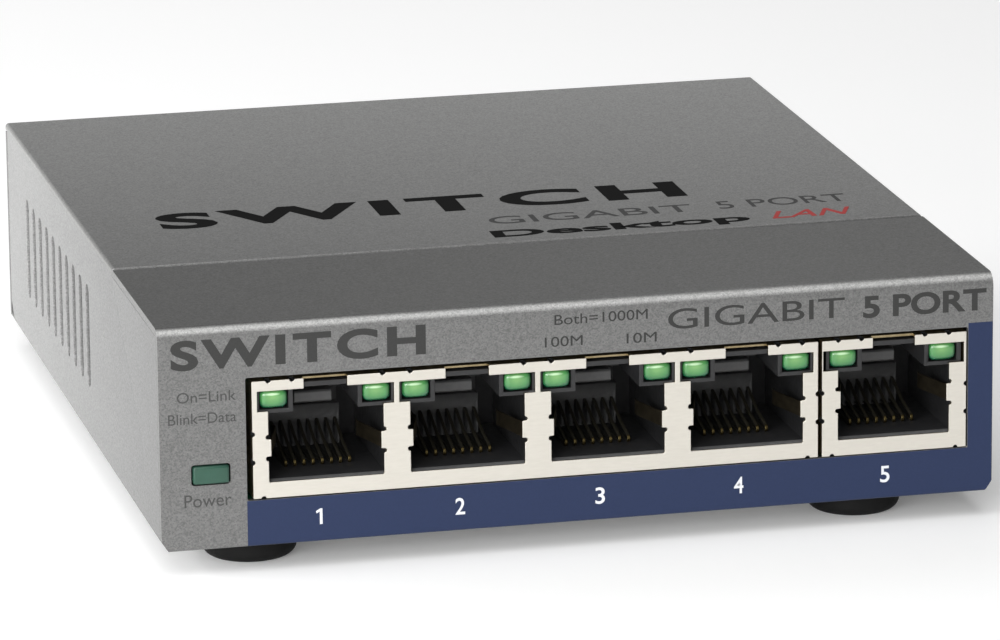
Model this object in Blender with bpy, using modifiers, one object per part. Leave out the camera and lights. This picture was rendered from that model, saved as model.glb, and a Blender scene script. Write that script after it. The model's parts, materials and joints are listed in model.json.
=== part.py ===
"""A five-port desktop network switch in a folded steel case, one object for each separate piece.

The case stands on its feet with its ports facing -Y. The origin is on the desk, under the middle of
the case. The named sizes are in millimetres and MM turns them into Blender's metres.
"""

import math

import bmesh
import bpy
from mathutils import Vector

MM = 0.001

# Case: folded sheet steel
WIDTH = 94.0
DEPTH = 101.0
TOTAL_HEIGHT = 28.0
FOOT_HEIGHT = 2.9
SHEET = 0.8
GAP = 0.3
SIDE = WIDTH / 2
FRONT = -DEPTH / 2
REAR = DEPTH / 2
BASE_Z = FOOT_HEIGHT
FLOOR_Z = BASE_Z + SHEET
STRIP_STEP = 0.12
STRIP_Z = TOTAL_HEIGHT - STRIP_STEP
SEAM_Y = -22.9
SEAM_GAP = 0.15
TONGUE = 4.5
TONGUE_Z = TOTAL_HEIGHT - SHEET - GAP
FRONT_BEND = 1.5
REAR_BEND = 2.0
TIGHT_BEND = 0.4
BEND_STEPS = 5
PANEL_INNER_FRONT = FRONT + SHEET
PANEL_INNER_REAR = REAR - SHEET
INNER_SIDE = SIDE - SHEET
COVER_HEM_Z = 4.0
COVER_CORNER_CUT = 2.0
FLOOR_INSET_REAR = 44.0
CORNER_CUT = (0.8, 1.2)

# Vent slots in both sides
VENT_COUNT = 10
VENT_PITCH = 4.61
VENT_FIRST_Y = -5.9
VENT_LOW = 9.85
VENT_HIGH = 21.9
VENT_WIDTH = 2.2

# Front opening and ports
PANEL_OPENING_X = (-37.45, 44.2)
PANEL_OPENING_Z = (8.0, 21.95)
PORT_PITCH = 15.78
FIRST_PORT_X = -28.57
PORT_X = [FIRST_PORT_X + PORT_PITCH * i for i in range(4)] + [35.57]
JACK_Z = (8.23, 21.45)
JACK_REAR = -33.5
QUAD_X = (-36.75, 26.9)
SINGLE_X = (27.35, 43.93)
SHIELD_SHEET = 0.3
MOUTH_HALF = 6.4
MOUTH_Z = (10.0, 18.0)
LED_WINDOW_HALF = 7.6
LED_WINDOW_TOP = 20.3
LATCH_HALF = 2.42
LEAF_Z = (13.0, 14.9)
LEAF_IN = 0.33
LEAF_LENGTH = 4.5
CAVITY_HALF = 6.75
CAVITY_Z = (9.75, 17.75)
LATCH_SLOT_HALF = 3.6
LATCH_SLOT_TOP = 20.3
LATCH_SLOT_REAR = -41.0
LED_POCKET_X = (3.95, 7.45)
LED_POCKET_Z = (18.05, 20.6)
LED_POCKET_REAR = -45.5
LED_CLEARANCE = 0.2

# Contacts in each port
WIRE_COUNT = 8
WIRE_PITCH = 1.02
WIRE_WIDTH = 0.45
WIRE_THICKNESS = 0.3
WIRE_FLOOR_Z = 10.25
WIRE_NOSE_Y = -45.2
WIRE_TIP = (-39.1, 13.35)
CARRIER_FRONT = -38.6

# Circuit board
BOARD_THICKNESS = 1.6
BOARD_TOP = 7.9
BOARD_BOTTOM = BOARD_TOP - BOARD_THICKNESS
BOARD_HALF_X = 44.8
BOARD_HALF_Y = 49.2
ON_BOARD = BOARD_TOP + GAP
SCREW_SPOTS = [(-41.5, -29.0), (41.5, -29.0), (-41.5, 40.0), (41.5, 40.0)]
BOARD_HOLE = 1.5

# Feet, stuck under the corners of the case
FOOT_RADIUS = 5.25
FOOT_X = (-35.8, 33.2)
FOOT_Y = 42.5
FOOT_EDGE = 1.0
FOOT_GAP = 0.1

# Power light
LIGHT_X = -41.42
LIGHT_Z = 11.4
LIGHT_SIZE = (4.0, 2.0)
LIGHT_HOLE_MARGIN = 0.25
PROUD = 0.6

# Rear panel: supply socket, reset switch, lock slot and cover screws
SOCKET_X = 30.0
SOCKET_Z = 14.4
SOCKET_SIZE = (9.0, 14.0, 10.9)
SOCKET_BORE = 3.2
SOCKET_BORE_DEPTH = 9.6
SOCKET_PIN = 1.0
RESET_X = 8.0
RESET_Z = 11.4
RESET_HOLE = 1.0
RESET_PLUNGER = 1.7
RESET_BORE = 2.0
RESET_BODY_X = (RESET_X - 3.0, RESET_X + 3.0)
RESET_BODY_Y = (43.0, 47.0)
RESET_BODY_TOP = 14.6
RESET_BORE_END = 43.9
RESET_PLUNGER_Y = (44.4, 49.2)
LOCK_X = -33.0
LOCK_Z = 13.0
LOCK_SIZE = (7.0, 3.0)
COVER_SCREW_X = 42.0
COVER_SCREW_Z = 22.5
COVER_SCREW_HOLE = 1.6
TAB_X = (38.2, 45.9)
TAB_LOW = 18.5

# Wall hooks in the base
HOOK_X = 29.0
HOOK_ENTRY = 3.3
HOOK_SLOT = 1.8
HOOK_LENGTH = 6.5

# Parts on the board
CHIP_SPOT = (-4.0, -2.0)
CHIP_SIZE = 14.0
CHIP_HEIGHT = 1.2
HEAT_SINK = (19.0, 7.0)
HEAT_SINK_FINS = 7
TRANSFORMER_X = (-23.0, 2.0, 27.0)
TRANSFORMER_Y = -25.0
TRANSFORMER_SIZE = (17.0, 9.2)
TRANSFORMER_TOP = 13.6
MEMORY_X = (-24.0, -18.8)
MEMORY_Y = (2.0, 7.3)
MEMORY_TOP = 10.0
CRYSTAL_SPOT = (-22.0, -8.0)
CRYSTAL_SIZE = (11.0, 4.6)
CRYSTAL_TOP = 11.7
CAPACITORS = [(20.0, 30.0, 3.15, 8.0), (12.0, 30.0, 2.5, 6.0)]
COIL_SPOT = (28.0, 22.0)
COIL_SIZE = 7.3
COIL_TOP = 11.8

ALONG_Y = (-90.0, 0.0, 0.0)
PARTS = "desktop_network_switch"
CUTTERS = "cutters"


def clear_scene():
    for obj in list(bpy.data.objects):
        bpy.data.objects.remove(obj, do_unlink=True)
    for name in (PARTS, CUTTERS):
        bpy.context.scene.collection.children.link(bpy.data.collections.new(name))
    bpy.data.collections[CUTTERS].hide_render = True


def make_material(name, color, roughness, metallic=0.0):
    material = bpy.data.materials.new(name)
    material.use_nodes = True
    shader = material.node_tree.nodes["Principled BSDF"]
    shader.inputs["Base Color"].default_value = (*color, 1.0)
    shader.inputs["Roughness"].default_value = roughness
    shader.inputs["Metallic"].default_value = metallic
    return material


def object_from(name, bm, material):
    """Puts a bmesh in the parts collection or, without a material, with the cutters."""
    bmesh.ops.recalc_face_normals(bm, faces=bm.faces)
    mesh = bpy.data.meshes.new(name)
    bm.to_mesh(mesh)
    bm.free()
    obj = bpy.data.objects.new(name, mesh)
    if material is None:
        obj.hide_render = True
        obj.display_type = "WIRE"
        bpy.data.collections[CUTTERS].objects.link(obj)
    else:
        mesh.materials.append(material)
        bpy.data.collections[PARTS].objects.link(obj)
    return obj


def box(name, x, y, z, material=None, bevel=0.0):
    """A box between two values on each axis, with its edges bevelled where asked."""
    bm = bmesh.new()
    bmesh.ops.create_cube(bm, size=1.0)
    size = Vector((x[1] - x[0], y[1] - y[0], z[1] - z[0])) * MM
    middle = Vector((x[0] + x[1], y[0] + y[1], z[0] + z[1])) * MM / 2
    bmesh.ops.scale(bm, vec=size, verts=bm.verts)
    bmesh.ops.translate(bm, vec=middle, verts=bm.verts)
    obj = object_from(name, bm, material)
    if bevel:
        modifier = obj.modifiers.new("edges", "BEVEL")
        modifier.width = bevel * MM
        modifier.segments = 1
    return obj


def arc(centre, radius, start, end, steps=BEND_STEPS):
    """Points along an arc, with its angles in degrees."""
    angles = [math.radians(start + (end - start) * i / steps) for i in range(steps + 1)]
    return [(centre[0] + radius * math.cos(a), centre[1] + radius * math.sin(a)) for a in angles]


def rounded_rectangle(centre, width, height, radius, steps=6):
    u = width / 2 - radius
    v = height / 2 - radius
    corners = [(u, v, 0), (-u, v, 90), (-u, -v, 180), (u, -v, 270)]
    points = []
    for du, dv, start in corners:
        points += arc((centre[0] + du, centre[1] + dv), radius, start, start + 90, steps)
    neighbours = zip(points, [points[-1]] + points)
    return [point for point, before in neighbours if math.dist(point, before) > 1e-6]


def in_space(axis, u, v, w):
    """An outline's point (u, v) at w along an axis, in metres."""
    order = {"X": (w, u, v), "Y": (u, w, v), "Z": (u, v, w)}
    return Vector(order[axis]) * MM


def prism(name, outlines, axis, low, high, material=None):
    """Each closed outline, filled and extruded along an axis."""
    bm = bmesh.new()
    for outline in outlines:
        face = bm.faces.new([bm.verts.new(in_space(axis, u, v, low)) for u, v in outline])
        extruded = bmesh.ops.extrude_face_region(bm, geom=[face])
        moved = [item for item in extruded["geom"] if isinstance(item, bmesh.types.BMVert)]
        bmesh.ops.translate(bm, vec=in_space(axis, 0, 0, high - low), verts=moved)
    return object_from(name, bm, material)


def folded_sheet(name, profile, axis, low, high, material):
    """Sheet metal along an axis. profile(inset) gives its outer face at 0 and its inner face at SHEET."""
    return prism(name, [profile(0.0) + profile(SHEET)[::-1]], axis, low, high, material)


def thicken(obj, thickness):
    modifier = obj.modifiers.new("sheet", "SOLIDIFY")
    modifier.thickness = thickness * MM
    modifier.offset = -1.0
    modifier.use_even_offset = True


def turned(name, profile, location, material=None, steps=24, tilt=(0.0, 0.0, 0.0)):
    """A profile of (radius, height) points, down its outer side, turned about its own Z axis."""
    bm = bmesh.new()
    verts = [bm.verts.new(Vector((r, 0.0, h)) * MM) for r, h in profile]
    for pair in zip(verts, verts[1:]):
        bm.edges.new(pair)
    obj = object_from(name, bm, material)
    obj.location = Vector(location) * MM
    obj.rotation_euler = [math.radians(angle) for angle in tilt]
    modifier = obj.modifiers.new("turn", "SCREW")
    modifier.axis = "Z"
    modifier.steps = steps
    modifier.render_steps = steps
    modifier.use_merge_vertices = True
    modifier.merge_threshold = 0.00001
    return obj


def rod(name, radius, centre, length, tilt=(0.0, 0.0, 0.0), material=None, steps=24):
    half = length / 2
    profile = [(0, half), (radius, half), (radius, -half), (0, -half)]
    return turned(name, profile, centre, material, steps, tilt)


def combine(obj, tool, operation):
    modifier = obj.modifiers.new(tool.name, "BOOLEAN")
    modifier.object = tool
    modifier.operation = operation
    modifier.solver = "EXACT"


def cut(obj, *tools):
    for tool in tools:
        combine(obj, tool, "DIFFERENCE")


def join(obj, *tools):
    for tool in tools:
        combine(obj, tool, "UNION")


def rear_hole(name, x, z, radius):
    return rod(name, radius, (x, REAR, z), 6 * SHEET, ALONG_Y, steps=20)


def keyhole(x):
    """A wall hook's entry circle with its narrower slot behind it."""
    spread = math.degrees(math.asin(HOOK_SLOT / HOOK_ENTRY))
    entry = arc((x, 0.0), HOOK_ENTRY, 90 + spread, 450 - spread, 18)
    return entry + arc((x, HOOK_LENGTH), HOOK_SLOT, 0, 180, 8)


def base_profile(inset):
    """From the tongue under the cover, over the strip, down the front, along the floor and up the rear."""
    step_y = SEAM_Y - SEAM_GAP - inset
    points = [(SEAM_Y + TONGUE, TONGUE_Z - inset), (step_y, TONGUE_Z - inset)]
    points.append((step_y - SEAM_GAP, STRIP_Z - inset))
    points += arc((FRONT + FRONT_BEND, STRIP_Z - FRONT_BEND), FRONT_BEND - inset, 90, 180)
    points += tight_corner((FRONT, BASE_Z), (1, 1), inset, 180)
    points += arc((REAR - REAR_BEND, BASE_Z + REAR_BEND), REAR_BEND - inset, 270, 360)
    points.append((REAR - inset, TOTAL_HEIGHT - SHEET - GAP))
    return points


def tight_corner(corner, inwards, inset, start, turn=90):
    """A bend that is round on its outer face and sharp on its inner one."""
    if inset:
        return [(corner[0] + inwards[0] * inset, corner[1] + inwards[1] * inset)]
    centre = (corner[0] + inwards[0] * TIGHT_BEND, corner[1] + inwards[1] * TIGHT_BEND)
    return arc(centre, TIGHT_BEND, start, start + turn, 3)


def make_base(paint):
    base = folded_sheet("base_chassis", base_profile, "X", -SIDE, SIDE, paint)
    inset = INNER_SIDE - GAP
    for side in (-1, 1):
        beside = sorted((side * inset, side * (SIDE + 1)))
        tag = "left" if side < 0 else "right"
        inset_y = (PANEL_INNER_FRONT + 0.02, FLOOR_INSET_REAR)
        cut(base, box(f"floor_inset_{tag}", beside, inset_y, (BASE_Z - 1, FLOOR_Z + 1)))
        tongue_rear = SEAM_Y + TONGUE + 1
        step_y, step_z = (SEAM_Y - 1.5, tongue_rear), (FLOOR_Z + 15, STRIP_Z - SHEET - 0.02)
        cut(base, box(f"step_inset_{tag}", beside, step_y, step_z))
        tongue_y = (SEAM_Y - 2 * SEAM_GAP + 0.01, tongue_rear)
        cut(base, box(f"tongue_inset_{tag}", beside, tongue_y, (FLOOR_Z + 15, STRIP_Z + 1)))
        across, up = CORNER_CUT
        corner = [
            (side * (SIDE - 2 * across), BASE_Z - up),
            (side * (SIDE + across), BASE_Z + 2 * up),
            (side * (SIDE + across), BASE_Z - up),
        ]
        cut(base, prism(f"corner_cut_{tag}", [corner], "Y", FRONT - 1, REAR + 1))
    cut(base, box("port_opening", PANEL_OPENING_X, (FRONT - 1, FRONT + 2), PANEL_OPENING_Z))
    light = [size + 2 * LIGHT_HOLE_MARGIN for size in LIGHT_SIZE]
    hole = rounded_rectangle((LIGHT_X, LIGHT_Z), light[0], light[1], 0.5, 3)
    cut(base, prism("light_hole", [hole], "Y", FRONT - 1, FRONT + 2))
    socket = (SOCKET_X - SOCKET_SIZE[0] / 2 - GAP, SOCKET_X + SOCKET_SIZE[0] / 2 + GAP)
    socket_z = (ON_BOARD - GAP, ON_BOARD + SOCKET_SIZE[2] + GAP)
    cut(base, box("socket_opening", socket, (REAR - 2, REAR + 1), socket_z))
    cut(base, rear_hole("reset_hole", RESET_X, RESET_Z, RESET_HOLE))
    slot = rounded_rectangle((LOCK_X, LOCK_Z), LOCK_SIZE[0], LOCK_SIZE[1], 1.0, 4)
    cut(base, prism("lock_slot", [slot], "Y", REAR - 2, REAR + 1))
    for side in (-1, 1):
        tag = "left" if side < 0 else "right"
        x = side * COVER_SCREW_X
        cut(base, rear_hole(f"cover_screw_hole_{tag}", x, COVER_SCREW_Z, COVER_SCREW_HOLE))
    hooks = [keyhole(-HOOK_X), keyhole(HOOK_X)]
    cut(base, prism("wall_hooks", hooks, "Z", BASE_Z - 1, FLOOR_Z + 1))


def vent_outline(index):
    y = VENT_FIRST_Y + VENT_PITCH * index
    height = VENT_HIGH - VENT_LOW
    middle = (VENT_LOW + VENT_HIGH) / 2
    return rounded_rectangle((y, middle), VENT_WIDTH, height, VENT_WIDTH / 2, 4)


def cover_profile(inset):
    """Up the left side, across the top and down the right side."""
    left = tight_corner((-SIDE, TOTAL_HEIGHT), (1, -1), inset, 180, -90)
    right = tight_corner((SIDE, TOTAL_HEIGHT), (-1, -1), inset, 90, -90)
    return [(-SIDE + inset, COVER_HEM_Z)] + left + right + [(SIDE - inset, COVER_HEM_Z)]


def make_cover(paint):
    cover = folded_sheet("top_cover", cover_profile, "Y", PANEL_INNER_FRONT + GAP, REAR, paint)
    across = (-SIDE - 1, SIDE + 1)
    under_strip = (STRIP_Z - SHEET - GAP, TOTAL_HEIGHT + 1)
    cut(cover, box("strip_room", across, (FRONT - 1, SEAM_Y), under_strip))
    behind = (PANEL_INNER_REAR - GAP, REAR + 1)
    cut(cover, box("rear_panel_room", across, behind, (0, TOTAL_HEIGHT - SHEET + 0.02)))
    rear_y, size = PANEL_INNER_REAR - GAP, COVER_CORNER_CUT
    corner = [(rear_y - 2 * size, COVER_HEM_Z - size), (rear_y + size, COVER_HEM_Z + 2 * size)]
    corner.append((rear_y + size, COVER_HEM_Z - size))
    cut(cover, prism("rear_corner_cut", [corner], "X", -SIDE - 1, SIDE + 1))
    vents = [vent_outline(i) for i in range(VENT_COUNT)]
    cut(cover, prism("vents_left", vents, "X", -SIDE - 1, -INNER_SIDE + 1))
    cut(cover, prism("vents_right", vents, "X", INNER_SIDE - 1, SIDE + 1))
    for side in (-1, 1):
        tag = "left" if side < 0 else "right"
        x = sorted((side * TAB_X[0], side * TAB_X[1]))
        tab_rear = PANEL_INNER_REAR - 2 * GAP
        y = (tab_rear - SHEET, tab_rear)
        join(cover, box(f"cover_tab_{tag}", x, y, (TAB_LOW, TOTAL_HEIGHT - SHEET / 2)))
        hole = rear_hole(f"cover_tab_hole_{tag}", side * COVER_SCREW_X, COVER_SCREW_Z, COVER_SCREW_HOLE)
        cut(cover, hole)


def make_feet(rubber):
    top = FOOT_HEIGHT - FOOT_GAP
    profile = [(0, top), (FOOT_RADIUS, top)]
    profile += arc((FOOT_RADIUS - FOOT_EDGE, FOOT_EDGE), FOOT_EDGE, 0, -90, 3)
    profile.append((0, 0))
    for x, tag_x in zip(FOOT_X, ("left", "right")):
        for end, tag_y in ((-1, "front"), (1, "rear")):
            turned(f"foot_{tag_y}_{tag_x}", profile, (x, end * FOOT_Y, 0), rubber)


def mouth_outline(x):
    """The shield's cut-out for one port: plug mouth, light windows and latch notch."""
    half = [
        (MOUTH_HALF, MOUTH_Z[0]),
        (MOUTH_HALF, LEAF_Z[0]),
        (MOUTH_HALF - LEAF_IN, LEAF_Z[0]),
        (MOUTH_HALF - LEAF_IN, LEAF_Z[1]),
        (MOUTH_HALF, LEAF_Z[1]),
        (MOUTH_HALF, MOUTH_Z[1]),
        (LED_WINDOW_HALF, MOUTH_Z[1]),
        (LED_WINDOW_HALF, LED_WINDOW_TOP),
        (LATCH_HALF, LED_WINDOW_TOP),
        (LATCH_HALF, JACK_Z[1] + 1),
    ]
    right = [(x + u, v) for u, v in half]
    left = [(x - u, v) for u, v in reversed(half)]
    return right + left


def make_shield(name, x, ports, nickel):
    """A folded can that is open underneath, with one cut-out and two grounding leaves for each port."""
    bm = bmesh.new()
    bmesh.ops.create_cube(bm, size=1.0)
    size = Vector((x[1] - x[0], JACK_REAR - FRONT, JACK_Z[1] - JACK_Z[0])) * MM
    middle = Vector((x[0] + x[1], FRONT + JACK_REAR, JACK_Z[0] + JACK_Z[1])) * MM / 2
    bmesh.ops.scale(bm, vec=size, verts=bm.verts)
    bmesh.ops.translate(bm, vec=middle, verts=bm.verts)
    underside = [face for face in bm.faces if face.normal.z < -0.5]
    bmesh.ops.delete(bm, geom=underside, context="FACES")
    shield = object_from(name, bm, nickel)
    thicken(shield, SHIELD_SHEET)
    outlines = [mouth_outline(port) for port in ports]
    cut(shield, prism(f"{name}_mouths", outlines, "Y", FRONT - 1, FRONT + 3 * SHIELD_SHEET))
    for index, port in enumerate(ports):
        for side in (-1, 1):
            inner = port + side * (MOUTH_HALF - LEAF_IN)
            leaf_x = sorted((inner, inner + side * 0.25))
            leaf_y = (FRONT, FRONT + LEAF_LENGTH)
            leaf = box(f"{name}_leaf_{index}_{side}", leaf_x, leaf_y, (LEAF_Z[0] + 0.1, LEAF_Z[1] - 0.1))
            join(shield, leaf)
            root_x = sorted((inner, inner + side * 1.0))
            root_y = (FRONT + 0.02, FRONT + SHIELD_SHEET - 0.02)
            root_z = (LEAF_Z[0] + 0.1, LEAF_Z[1] - 0.1)
            join(shield, box(f"{name}_leaf_root_{index}_{side}", root_x, root_y, root_z))


def make_jack_housing(name, x, ports, plastic):
    inside = SHIELD_SHEET + 0.25
    y = (FRONT + inside, JACK_REAR - inside)
    z = (JACK_Z[0] + 0.1, JACK_Z[1] - SHIELD_SHEET - 0.18)
    housing = box(name, (x[0] + inside, x[1] - inside), y, z, plastic)
    for index, port in enumerate(ports):
        cavity = (port - CAVITY_HALF, port + CAVITY_HALF)
        cut(housing, box(f"{name}_cavity_{index}", cavity, (y[0] - 1, y[1] + 1), CAVITY_Z))
        latch = (port - LATCH_SLOT_HALF, port + LATCH_SLOT_HALF)
        latch_z = (CAVITY_Z[1] - 0.5, LATCH_SLOT_TOP)
        cut(housing, box(f"{name}_latch_{index}", latch, (y[0] - 1, LATCH_SLOT_REAR), latch_z))
        for side in (-1, 1):
            pocket = sorted((port + side * LED_POCKET_X[0], port + side * LED_POCKET_X[1]))
            pocket_y = (y[0] - 1, LED_POCKET_REAR)
            cut(housing, box(f"{name}_pocket_{index}_{side}", pocket, pocket_y, LED_POCKET_Z))


def ribbon(centre_line, thickness):
    """The outline of a strip of even thickness along a centre line."""
    points = [Vector(point) for point in centre_line]
    left, right = [], []
    for i, point in enumerate(points):
        before = (point - points[max(i - 1, 0)]).normalized()
        after = (points[min(i + 1, len(points) - 1)] - point).normalized()
        along = (before + after).normalized()
        across = Vector((-along.y, along.x)) * thickness / 2
        left.append(tuple(point + across))
        right.append(tuple(point - across))
    return left + right[::-1]


def wire_path():
    """A contact wire: forward along the floor, round its nose, then sloping up and back."""
    nose = arc((WIRE_NOSE_Y, WIRE_FLOOR_Z + 0.3), 0.3, 270, 115, 4)
    return [(CARRIER_FRONT + 1.0, WIRE_FLOOR_Z)] + nose + [WIRE_TIP]


def make_contacts(number, port, gold):
    """Eight sprung wires moulded into the carrier that closes the back of a port."""
    half = CAVITY_HALF - 0.35
    z = (CAVITY_Z[0] + GAP, CAVITY_Z[1] - GAP)
    rear = JACK_REAR - 0.8
    carrier = box(f"contact_set_{number}", (port - half, port + half), (CARRIER_FRONT, rear), z, gold)
    outline = ribbon(wire_path(), WIRE_THICKNESS)
    for i in range(WIRE_COUNT):
        x = port + (i - (WIRE_COUNT - 1) / 2) * WIRE_PITCH
        low, high = x - WIRE_WIDTH / 2, x + WIRE_WIDTH / 2
        join(carrier, prism(f"wire_{number}_{i}", [outline], "X", low, high))


def make_link_lights(number, port, lens):
    low, high = (edge + LED_CLEARANCE * sign for edge, sign in zip(LED_POCKET_X, (1, -1)))
    z = (LED_POCKET_Z[0] + LED_CLEARANCE, LED_POCKET_Z[1] - LED_CLEARANCE)
    y = (FRONT + 0.1, LED_POCKET_REAR - LED_CLEARANCE)
    for side, tag in ((-1, "left"), (1, "right")):
        x = sorted((port + side * low, port + side * high))
        box(f"link_light_{number}_{tag}", x, y, z, lens, bevel=0.35)


def make_board(laminate):
    x = (-BOARD_HALF_X, BOARD_HALF_X)
    board = box("circuit_board", x, (-BOARD_HALF_Y, BOARD_HALF_Y), (BOARD_BOTTOM, BOARD_TOP), laminate)
    middle = (BOARD_BOTTOM + BOARD_TOP) / 2
    for i, (sx, sy) in enumerate(SCREW_SPOTS):
        cut(board, rod(f"board_hole_{i}", BOARD_HOLE, (sx, sy, middle), 3 * BOARD_THICKNESS, steps=16))


def make_board_fixings(steel):
    """A pillar under each corner of the board and the screw that goes down into it."""
    low, high = FLOOR_Z + 0.15, BOARD_BOTTOM - 0.15
    floor, outer, bore = low + 0.5, 2.7, 1.55
    pillar = [(0, floor), (bore, floor), (bore, high), (outer, high), (outer, low), (0, low)]
    head_low, head_high, tip = BOARD_TOP + 0.15, BOARD_TOP + 1.5, floor + 0.3
    screw = [(0, head_high), (1.6, head_high), (2.3, head_high - 0.6), (2.3, head_low)]
    screw += [(1.15, head_low), (1.15, tip), (0, tip)]
    for number, (x, y) in enumerate(SCREW_SPOTS, 1):
        turned(f"board_pillar_{number}", pillar, (x, y, 0), steel, steps=6)
        turned(f"board_screw_{number}", screw, (x, y, 0), steel, steps=12)


def make_cover_screws(steel):
    """Pan-head screws through the rear panel into the cover's tabs."""
    profile = [(0, PROUD), (1.9, PROUD), (2.7, 0.3), (2.7, 0.05), (1.3, 0.05), (1.3, -4.0), (0, -4.0)]
    for side, tag in ((-1, "left"), (1, "right")):
        place = (side * COVER_SCREW_X, REAR, COVER_SCREW_Z)
        turned(f"cover_screw_{tag}", profile, place, steel, 16, ALONG_Y)


def make_power_light(lens, resin):
    """A light guide with its lens in the front panel and its foot over a small lamp on the board."""
    width, height = LIGHT_SIZE
    x = (LIGHT_X - width / 2, LIGHT_X + width / 2)
    top = LIGHT_Z + height / 2
    guide = box("power_light_guide", x, (FRONT - PROUD, FRONT + 4.5), (top - height, top), lens)
    foot = box("light_guide_foot", (x[0] + 0.6, x[1] - 0.6), (FRONT + 2.5, FRONT + 4.5), (9.2, top - 0.3))
    join(guide, foot)
    lamp_x = (LIGHT_X - 0.8, LIGHT_X + 0.8)
    box("power_lamp", lamp_x, (FRONT + 2.9, FRONT + 4.1), (BOARD_TOP + 0.15, 8.9), resin)


def make_supply_socket(plastic, nickel):
    """The direct-current socket: a square housing with a round bore, and the pin in the middle of it."""
    width, length, height = SOCKET_SIZE
    x = (SOCKET_X - width / 2, SOCKET_X + width / 2)
    mouth = REAR + PROUD
    body = box("supply_socket", x, (mouth - length, mouth), (ON_BOARD, ON_BOARD + height), plastic)
    depth = SOCKET_BORE_DEPTH + 1
    centre = (SOCKET_X, mouth - SOCKET_BORE_DEPTH + depth / 2, SOCKET_Z)
    cut(body, rod("socket_bore", SOCKET_BORE, centre, depth, ALONG_Y))
    root = (SOCKET_X, mouth - length + 2, SOCKET_Z)
    cut(body, rod("pin_hole", SOCKET_PIN + GAP, root, 8, ALONG_Y, steps=16))
    tip, tail = mouth - 0.8, mouth - length - 0.6
    half = (tip - tail) / 2
    profile = [(0, half), (0.6, half), (SOCKET_PIN, half - 0.5), (SOCKET_PIN, -half), (0, -half)]
    turned("supply_socket_pin", profile, (SOCKET_X, (tip + tail) / 2, SOCKET_Z), nickel, 16, ALONG_Y)


def make_reset_switch(plastic, button):
    """A side-acting switch on the board and its plunger, which slides along -Y when pushed."""
    body = box("reset_switch_body", RESET_BODY_X, RESET_BODY_Y, (ON_BOARD, RESET_BODY_TOP), plastic)
    open_end = RESET_BODY_Y[1] + 1
    centre = (RESET_X, (RESET_BORE_END + open_end) / 2, RESET_Z)
    cut(body, rod("plunger_bore", RESET_BORE, centre, open_end - RESET_BORE_END, ALONG_Y))
    low, high = RESET_PLUNGER_Y
    middle = (RESET_X, (low + high) / 2, RESET_Z)
    rod("reset_button", RESET_PLUNGER, middle, high - low, ALONG_Y, button, 20)


def heat_sink_outline(x, z, width, height, fins):
    """A comb: a plate with evenly spaced fins standing on it."""
    plate, fin = 1.2, 0.9
    step = (width - fin) / (fins - 1)
    points = [(x - width / 2, z)]
    for i in range(fins):
        left = x - width / 2 + step * i
        points += [(left, z + height), (left + fin, z + height)]
        if i < fins - 1:
            points += [(left + fin, z + plate), (left + step, z + plate)]
    points.append((x + width / 2, z))
    return points


def around(middle, size):
    return (middle - size / 2, middle + size / 2)


def make_board_parts(epoxy, aluminium, steel, ferrite):
    """The chips, transformers and supply parts soldered to the board."""
    chip_x, chip_y = CHIP_SPOT
    top = ON_BOARD + CHIP_HEIGHT
    box("switch_chip", around(chip_x, CHIP_SIZE), around(chip_y, CHIP_SIZE), (ON_BOARD, top), epoxy)
    fins = heat_sink_outline(chip_x, top + GAP / 2, *HEAT_SINK, HEAT_SINK_FINS)
    prism("heat_sink", [fins], "Y", *around(chip_y, HEAT_SINK[0]), aluminium)
    for number, x in enumerate(TRANSFORMER_X, 1):
        across, along = around(x, TRANSFORMER_SIZE[0]), around(TRANSFORMER_Y, TRANSFORMER_SIZE[1])
        box(f"transformer_{number}", across, along, (ON_BOARD, TRANSFORMER_TOP), epoxy, bevel=0.4)
    box("memory_chip", MEMORY_X, MEMORY_Y, (ON_BOARD, MEMORY_TOP), epoxy)
    crystal = rounded_rectangle(CRYSTAL_SPOT, *CRYSTAL_SIZE, CRYSTAL_SIZE[1] / 2, 5)
    prism("crystal", [crystal], "Z", ON_BOARD, CRYSTAL_TOP, steel)
    for number, (x, y, radius, height) in enumerate(CAPACITORS, 1):
        crimp = [(radius, 2.0), (radius - 0.3, 1.6), (radius, 1.2)]
        can = [(0, height), (radius - 0.3, height), (radius, height - 0.3)] + crimp + [(radius, 0), (0, 0)]
        turned(f"capacitor_{number}", can, (x, y, ON_BOARD), aluminium, 16)
    coil = rounded_rectangle(COIL_SPOT, COIL_SIZE, COIL_SIZE, 1.2, 3)
    prism("supply_coil", [coil], "Z", ON_BOARD, COIL_TOP, ferrite)


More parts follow.
